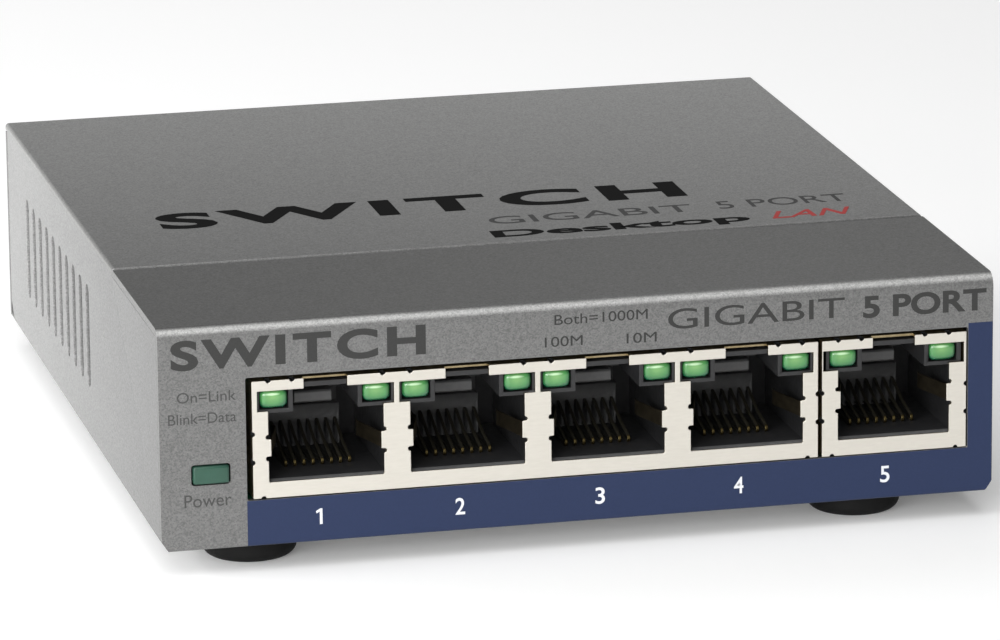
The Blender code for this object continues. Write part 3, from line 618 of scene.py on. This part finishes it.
def make_shield(name, node, ports, leaf_z, window):
    shield_box = Box(node)
    sheet = 0.3
    bm = bmesh.new()
    add_box(bm, shield_box.x, shield_box.y, shield_box.z)
    underside = [face for face in bm.faces if face.normal.z < -0.5]
    bmesh.ops.delete(bm, geom=underside, context="FACES")
    shield = object_from(name, bm, NICKEL)
    shield.data.materials.append(BRASS_AND_PAINTED_SHADE)
    modifier = shield.modifiers.new("sheet", "SOLIDIFY")
    modifier.thickness = sheet * MM
    modifier.offset = -1.0
    modifier.use_even_offset = True
    mouths = [mouth_outline(port, leaf_z, window) for port in ports]
    cut(shield, prism(f"{name}_mouths", mouths, "Y", FRONT - 1, FRONT + 3 * sheet))
    rounds = [arc(place, 0.28, 0, 330, 11) for place in notches(shield_box, ports)]
    cut(shield, prism(f"{name}_notches", rounds, "Y", FRONT - 1, FRONT + 4 * sheet))
    bevel(shield, 0.05, 1)
    # The black plastic on the shield is painted shade for its inside and its notches.
    shield.data.materials.append(BLACK)
    piece(shield, "nickel", node, smooth=0)
    places = notches(shield_box, ports)
    x_room = (shield_box.x[0] + 0.2, shield_box.x[1] - 0.2)
    for polygon in shield.data.polygons:
        x, y, z = polygon.center / MM
        near = min(math.hypot(x - u, z - v) for u, v in places)
        front_face = polygon.normal.y < -0.5 and y < FRONT + 0.2
        inner = x_room[0] < x < x_room[1] and y > FRONT + 1.5 and z < shield_box.z[1] - 0.2
        # Faces inside the shield and in its notches take the black plastic as painted shade; the other faces off the
        # front take the brassy, partly shaded sides.
        dark = inner or near < 0.32
        polygon.material_index = 0 if front_face else 2 if dark else 1
    for number, port in enumerate(ports):
        for side in (-1, 1):
            make_leaf(f"{name}_leaf_{number}_{'left' if side < 0 else 'right'}", port, side, leaf_z)


def make_leaf(name, port, side, leaf_z):
    """A grounding leaf, folded back from the shield's face and bowed into the port."""
    edge = port + side * (MOUTH_HALF - LEAF_IN)
    bow = [(0.0, 0.02), (0.12, 0.5), (0.65, 2.4), (1.35, 4.6), (1.6, 5.6), (1.5, 6.3)]
    path = [(edge - side * u, FRONT + v) for u, v in bow]
    outline = path + [(u + side * 0.14, v + 0.02) for u, v in reversed(path)]
    # The leaf's dark brass is painted shade.
    leaf = prism(name, [outline], "Z", leaf_z[0] + 0.1, leaf_z[1] - 0.1, LEAF_METAL_PAINTED_SHADE)
    bevel(leaf, 0.03, 1)
    piece(leaf, "nickel")


def make_housing(name, node, ports):
    """Moulded housing: plug cavities, latch slots with a stop in each, and pockets for the lights."""
    housing_box = Box(node)
    y, z = housing_box.y, housing_box.z
    floor = MOUTH_Z[0] + 0.15
    housing = box(name, housing_box.x, (FRONT + 0.33, y[1]), z, BLACK)
    y = (FRONT + 0.33, y[1])
    through = (y[0] - 1, y[1] + 1)
    for number, port in enumerate(ports):
        cavity = (port - 6.6, port + 6.6)
        cut(housing, box(f"{name}_cavity_{number}", cavity, through, (floor, 17.75)))
        lip = [(y[0] - 0.01, floor - 0.3), (y[0] - 0.01, floor + 1), (y[0] + 0.6, floor + 1)]
        lip.append((y[0] + 0.6, floor))
        cut(housing, prism(f"{name}_lip_{number}", [lip], "X", port - 6.58, port + 6.58))
        latch = (port - 3.6, port + 3.6)
        cut(housing, box(f"{name}_latch_{number}", latch, (y[0] - 1, -41.0), (17.2, 20.45)))
        for side in (-1, 1):
            light = Box(f"link_light_{PORT_X.index(port) + 1}_{'left' if side < 0 else 'right'}")
            pocket = (light.x[0] - 0.08, light.x[1] + 0.08)
            pocket_z = (light.z[0] - 0.08, light.z[1] + 0.12)
            cut(housing, box(f"{name}_pocket_{number}_{side}", pocket, (y[0] - 1, -45.5), pocket_z))
    bevel(housing, 0.09, 2)
    housing.data.materials.append(PAINTED_LIGHT_PLASTIC)
    piece(housing, "black_plastic", node)
    # The lip's up-facing slope takes the lighter plastic: painted light.
    for polygon in housing.data.polygons:
        painted_light_slope = polygon.normal.y < -0.2 and polygon.normal.z > 0.5 and polygon.center.z < (floor + 0.1) * MM
        polygon.material_index = 1 if painted_light_slope else 0
    stops = bmesh.new()
    front, rear, low, high = -43.7, -40.0, 16.75, 18.15
    profile = [(front, low + 0.2), (front + 0.3, low), (rear, low), (rear, high), (front + 0.2, high), (front, high - 0.2)]
    for port in ports:
        stop = prism("stop", [profile], "X", port - 2.15, port + 2.05)
        stops.from_mesh(stop.data)
        bpy.data.objects.remove(stop, do_unlink=True)
    # The latch stops take the lighter plastic: painted light.
    latch_stops = object_from(f"{name}_latch_stops", stops, PAINTED_LIGHT_PLASTIC)
    bevel(latch_stops, 0.06, 2)
    piece(latch_stops, "black_plastic", node)


def ribbon(path, thickness):
    """The outline of a strip of even thickness along a path."""
    points = [Vector(point) for point in path]
    left, right = [], []
    for index, point in enumerate(points):
        before = (point - points[max(index - 1, 0)]).normalized()
        after = (points[min(index + 1, len(points) - 1)] - point).normalized()
        along = (before + after).normalized()
        across = Vector((-along.y, along.x)) * thickness / 2
        left.append(tuple(point + across))
        right.append(tuple(point - across))
    return left + right[::-1]


def make_contacts(number, port):
    """Eight gold wires and the comb that guides their tips, at the back of a port."""
    node = Box(f"contact_set_{number}")
    front, slot_top, shelf = -37.6, 12.9, 14.8
    path = [(front + 0.8, 10.25)] + arc((-45.2, 10.55), 0.3, 270, 115, 8)
    path += [(-41.8, 11.6), (-38.4, 12.9), (-37.2, 13.2)]
    outline = ribbon(path, 0.28)
    columns = [port + (i - 3.5) * 1.02 for i in range(8)]
    bm = bmesh.new()
    for x in columns:
        wire = prism("wire", [outline], "X", x - 0.16, x + 0.16)
        bm.from_mesh(wire.data)
        bpy.data.objects.remove(wire, do_unlink=True)
    wires = object_from(f"contact_wires_{number}", bm, GOLD)
    bevel(wires, 0.05, 2)
    wires.data.materials.append(SHADED_GOLD)
    piece(wires, "gold", f"contact_set_{number}")
    # The noses at the port's front keep the dimmed gold, the rest take the darker copy: painted shade deeper in the
    # port.
    for polygon in wires.data.polygons:
        polygon.material_index = 0 if polygon.center.y < -45.15 * MM else 1
    # The comb takes the lighter plastic: painted light inside the port.
    comb = box(f"contact_comb_{number}", (port - 4.6, port + 4.1), (front, node.y[1]), (10.2, node.z[1]), PAINTED_LIGHT_PLASTIC)
    ledge = [(front - 1, shelf), (front - 1, 18.0), (front + 1.2, 18.0), (front + 1.2, shelf + 0.1)]
    cut(comb, prism(f"comb_ledge_{number}", [ledge], "X", node.x[0] - 1, node.x[1] + 1))
    slots = bmesh.new()
    for x in columns:
        bottom, top = (0.36, 10.3), (0.20, slot_top)
        verts = [(x - bottom[0], bottom[1]), (x + bottom[0], bottom[1]), (x + top[0], top[1]), (x - top[0], top[1])]
        slot = prism("slot", [verts], "Y", front - 1, front + 1.8)
        slots.from_mesh(slot.data)
        bpy.data.objects.remove(slot, do_unlink=True)
    cut(comb, object_from(f"comb_slots_{number}", slots))
    bevel(comb, 0.05, 1)
    piece(comb, "black_plastic", f"contact_set_{number}")


def make_lights():
    for number in range(1, 6):
        for side in ("left", "right"):
            node = f"link_light_{number}_{side}"
            light = Box(node)
            lens = box(f"lens_{number}_{side}", light.x, light.y, light.z, GREEN)
            bevel(lens, 0.7, 8)
            piece(lens, "green_lens", node)
    guide = Box("power_light_guide")
    lens = box("power_lens", LIGHT_X, (FRONT - 0.3, guide.y[1]), LIGHT_Z, TEAL)
    inner = (LIGHT_X[0] + 0.6, LIGHT_X[1] - 0.6)
    join(lens, box("power_lens_foot", inner, (guide.y[1] - 2, guide.y[1]), (guide.z[0], LIGHT_Z[1] - 0.3)))
    bevel(lens, 0.25, 4)
    piece(lens, "power_lens", "power_light_guide")


# ---------------------------------------------------------------- lettering


def lettering(name, words, place, material, height=0.015):
    """Printed words. Each is (text, low and high along, low and high across, boldness, slant)."""
    joined = bmesh.new()
    for text, (u0, u1), (v0, v1), bold, slant in words:
        curve = bpy.data.curves.new(name, "FONT")
        curve.body = text
        curve.offset = bold
        curve.shear = slant
        curve.space_character = 1.2 if bold > 0.03 else 1.0
        curve.resolution_u = 6
        word = bpy.data.objects.new(name, curve)
        bpy.context.scene.collection.objects.link(word)
        graph = bpy.context.evaluated_depsgraph_get()
        mesh = bpy.data.meshes.new_from_object(word.evaluated_get(graph), depsgraph=graph)
        bpy.data.objects.remove(word, do_unlink=True)
        xs = [vertex.co.x for vertex in mesh.vertices]
        ys = [vertex.co.y for vertex in mesh.vertices]
        scale_u, scale_v = (u1 - u0) / (max(xs) - min(xs)), (v1 - v0) / (max(ys) - min(ys))
        for vertex in mesh.vertices:
            u = u0 + (vertex.co.x - min(xs)) * scale_u
            v = v0 + (vertex.co.y - min(ys)) * scale_v
            vertex.co = place(u, v)
        joined.from_mesh(mesh)
    bmesh.ops.remove_doubles(joined, verts=joined.verts, dist=1e-7)
    obj = object_from(name, joined, material)
    modifier = obj.modifiers.new("ink", "SOLIDIFY")
    modifier.thickness = height * MM
    modifier.offset = 0.0
    return piece(obj, "case_paint", smooth=0)


def on_front(u, v):
    return Vector((u, FRONT - 0.015, v)) * MM


def on_band(u, v):
    return Vector((u, FRONT - 0.045, v)) * MM


def on_top(u, v):
    return Vector((u, v, COVER_TOP + 0.015)) * MM


def make_prints():
    """Generic words and numbers in the places where such a switch is printed."""
    digits = []
    for number, port in enumerate(PORT_X[1:], 2):
        middle = port - 0.98
        digits.append((str(number), (middle - 0.54, middle + 0.54), (4.78, 6.68), 0.012, 0.0))
    lettering("port_numbers", digits, on_band, WHITE_INK)
    right, low = PORT_X[0] - 0.6, 4.9
    one = [(-0.3, 0), (0, 0), (0, 1.78), (-0.24, 1.78), (-0.72, 1.5), (-0.65, 1.25), (-0.3, 1.42)]
    outline = [(right + u, low + v) for u, v in one]
    piece(prism("port_number_1", [outline], "Y", FRONT - 0.05, FRONT - 0.03, WHITE_INK), "case_paint")
    bold = [
        ("SWITCH", (-45.6, -17.4), (23.2, 26.6), 0.035, 0.0),
        ("5 PORT", (32.0, 46.2), (23.75, 26.3), 0.03, 0.0),
    ]
    lettering("front_words", bold, on_front, DARK_INK)
    legends = [
        ("GIGABIT", (9.8, 29.9), (24.05, 26.35), 0.0, 0.0),
        ("Both=1000M", (-3.0, 7.5), (25.45, 26.6), 0.0, 0.0),
        ("100M", (-4.1, 0.15), (23.0, 24.15), 0.0, 0.0),
        ("10M", (5.1, 8.5), (22.8, 23.95), 0.0, 0.0),
    ]
    lettering("front_legends", legends, on_front, DARK_INK)
    left_legends = [
        ("On=Link", (-45.0, -38.5), (19.6, 20.8), 0.0, 0.0),
        ("Blink=Data", (-46.0, -38.5), (17.2, 18.4), 0.0, 0.0),
        ("Power", (-44.4, -39.2), (7.8, 9.25), 0.0, 0.0),
    ]
    lettering("left_legends", left_legends, on_front, SOFT_INK)
    top = [
        ("SWITCH", (-38.2, 23.5), (-7.3, 0.1), 0.035, 0.0),
        ("Desktop", (-2.6, 27.5), (-21.6, -17.6), 0.03, 0.0),
    ]
    lettering("top_words", top, on_top, BLACK_INK)
    faint = [("GIGABIT", (-1.5, 22.5), (-14.6, -11.2), 0.0, 0.0), ("5 PORT", (25.5, 41.0), (-14.4, -10.9), 0.0, 0.0)]
    lettering("top_faint_words", faint, on_top, FAINT_INK)
    lettering("top_red_word", [("LAN", (30.0, 40.0), (-20.4, -17.2), 0.01, 0.4)], on_top, RED_INK)


# ---------------------------------------------------------------- inside and rear


def finish_cad_nodes():
    """Materials for the CAD nodes that stay, by the record's slots."""
    looks = {
        "black_plastic": BLACK,
        "nickel": NICKEL,
        "board": textured("board_laminate", (0.008, 0.075, 0.03), (0.02, 0.16, 0.07), 0.6, (0.25, 0.4), (0.3, 0.03)),
        "zinc_steel": textured(
            "zinc_plate", (0.45, 0.46, 0.48), (0.65, 0.66, 0.68), 1.0, (0.25, 0.4), (0.1, 0.01), metallic=1.0
        ),
        "black_screw": textured(
            "black_oxide", (0.02, 0.02, 0.022), (0.05, 0.05, 0.055), 1.5, (0.3, 0.45), (0.15, 0.02), metallic=0.9
        ),
        "chip": textured("chip_epoxy", (0.012, 0.012, 0.013), (0.03, 0.03, 0.032), 3.0, (0.5, 0.7), (0.3, 0.02)),
        "aluminium": textured(
            "satin_aluminium", (0.60, 0.61, 0.63), (0.78, 0.79, 0.81), 1.0, (0.25, 0.4), (0.2, 0.02), (1, 8, 1),
            metallic=1.0,
        ),
        "steel_can": textured(
            "drawn_can", (0.55, 0.55, 0.56), (0.72, 0.72, 0.73), 1.0, (0.2, 0.3), (0.1, 0.01), metallic=1.0
        ),
        "ferrite": textured("ferrite", (0.045, 0.045, 0.05), (0.09, 0.09, 0.10), 2.5, (0.6, 0.8), (0.4, 0.03)),
        "lamp_resin": textured("lamp_resin", (0.66, 0.68, 0.58), (0.80, 0.82, 0.74), 1.5, (0.3, 0.4), (0.1, 0.01)),
        "button_plastic": textured(
            "brown_plastic", (0.07, 0.04, 0.025), (0.12, 0.075, 0.05), 2.0, (0.4, 0.55), (0.2, 0.02)
        ),
    }
    slots = {entry["node"]: entry["material_slot"] for entry in frame["record"]["subparts"]}
    for name, node in frame["nodes"].items():
        look = looks.get(slots[name])
        if look and not node.hide_render:
            node.data.materials.clear()
            node.data.materials.append(look)
            bevel(node, 0.12, 2, 40)
            node.modifiers.new("normals", "WEIGHTED_NORMAL")
            for polygon in node.data.polygons:
                polygon.use_smooth = True
                polygon.material_index = 0


# ---------------------------------------------------------------- stage


def make_floor():
    bm = bmesh.new()
    bmesh.ops.create_circle(bm, cap_ends=True, radius=6.0, segments=96)
    floor = object_from("floor", bm)
    material, tree, shader = start_material("pale_floor")
    cloud = ramp(tree, noise(tree, 0.004), (0.3, (0.94, 0.94, 0.94)), (0.7, (0.96, 0.96, 0.96)))
    tree.links.new(cloud, shader.inputs["Base Color"])
    set_values(shader, roughness=0.7, emission_strength=0.13)
    shader.inputs["Emission Color"].default_value = (1.0, 1.0, 1.0, 1.0)
    floor.data.materials.append(material)


def aim(obj, place, target):
    obj.location = Vector(place)
    obj.rotation_euler = (Vector(target) - Vector(place)).to_track_quat("-Z", "Y").to_euler()
    bpy.context.scene.collection.objects.link(obj)


def soft_light(name, place, target, size, power):
    light = bpy.data.lights.new(name, "AREA")
    light.shape = "RECTANGLE"
    light.size, light.size_y = size
    light.energy = power
    aim(bpy.data.objects.new(name, light), place, target)


def make_lighting():
    world = bpy.data.worlds.new("studio")
    bpy.context.scene.world = world
    world.use_nodes = True
    background = world.node_tree.nodes["Background"]
    background.inputs["Color"].default_value = (1.0, 1.0, 1.0, 1.0)
    background.inputs["Strength"].default_value = 0.1
    sun = bpy.data.lights.new("overhead", "SUN")
    sun.energy = 1.56
    sun.angle = math.radians(60)
    aim(bpy.data.objects.new("overhead", sun), (-0.35, -0.45, 1.2), (0, 0, 0))
    soft_light("left_panel", (-0.55, 0.12, 0.22), (0, 0, 0.015), (0.5, 0.35), 3.0)
    soft_light("front_left_panel", (-0.34, -0.40, 0.12), (-0.01, -0.05, 0.015), (0.3, 0.2), 1.65)
    soft_light("far_front_panel", (-0.25, -1.2, 0.55), (0, -0.05, 0.015), (0.6, 0.5), 2.4)
    soft_light("rear_panel", (0.14, 0.34, 0.20), (0, 0.02, 0.028), (0.35, 0.2), 0.02)
    soft_light("right_rear_lamp", (0.06, 0.07, 0.15), (0.04, 0.045, 0.028), (0.08, 0.08), 0.03)


def make_camera():
    """A long lens, level with the top left of the front, looking down on the switch."""
    turn, dip, roll = math.radians(13.134), math.radians(14.866), math.radians(-0.552)
    forward = Vector((math.sin(turn) * math.cos(dip), math.cos(turn) * math.cos(dip), -math.sin(dip)))
    level = Vector((math.cos(turn), -math.sin(turn), 0.0))
    up = level.cross(forward)
    right = math.cos(roll) * level + math.sin(roll) * up
    above = -math.sin(roll) * level + math.cos(roll) * up
    data = bpy.data.cameras.new("camera")
    data.sensor_width = 36.0
    data.lens = 245.08
    data.clip_start = 0.05
    data.clip_end = 50.0
    camera = bpy.data.objects.new("camera", data)
    matrix = Matrix((right, above, -forward)).transposed().to_4x4()
    matrix.translation = Vector((-171.80, -747.81, 216.54)) * MM
    camera.matrix_world = matrix
    bpy.context.scene.collection.objects.link(camera)
    bpy.context.scene.camera = camera
    bpy.context.scene.view_settings.view_transform = "Standard"


make_base()
make_cover()
make_band()
make_feet()
make_shield("shield_quad", "jack_shield_quad", PORT_X[:4], (12.95, 14.85), 7.6)
make_shield("shield_single", "jack_shield_single", PORT_X[4:], (13.65, 15.6), 8.1)
make_housing("housing_quad", "jack_housing_quad", PORT_X[:4])
make_housing("housing_single", "jack_housing_single", PORT_X[4:])
for port_number, port_middle in enumerate(PORT_X, 1):
    make_contacts(port_number, port_middle)
make_lights()
make_prints()
finish_cad_nodes()
make_floor()
make_lighting()
make_camera()
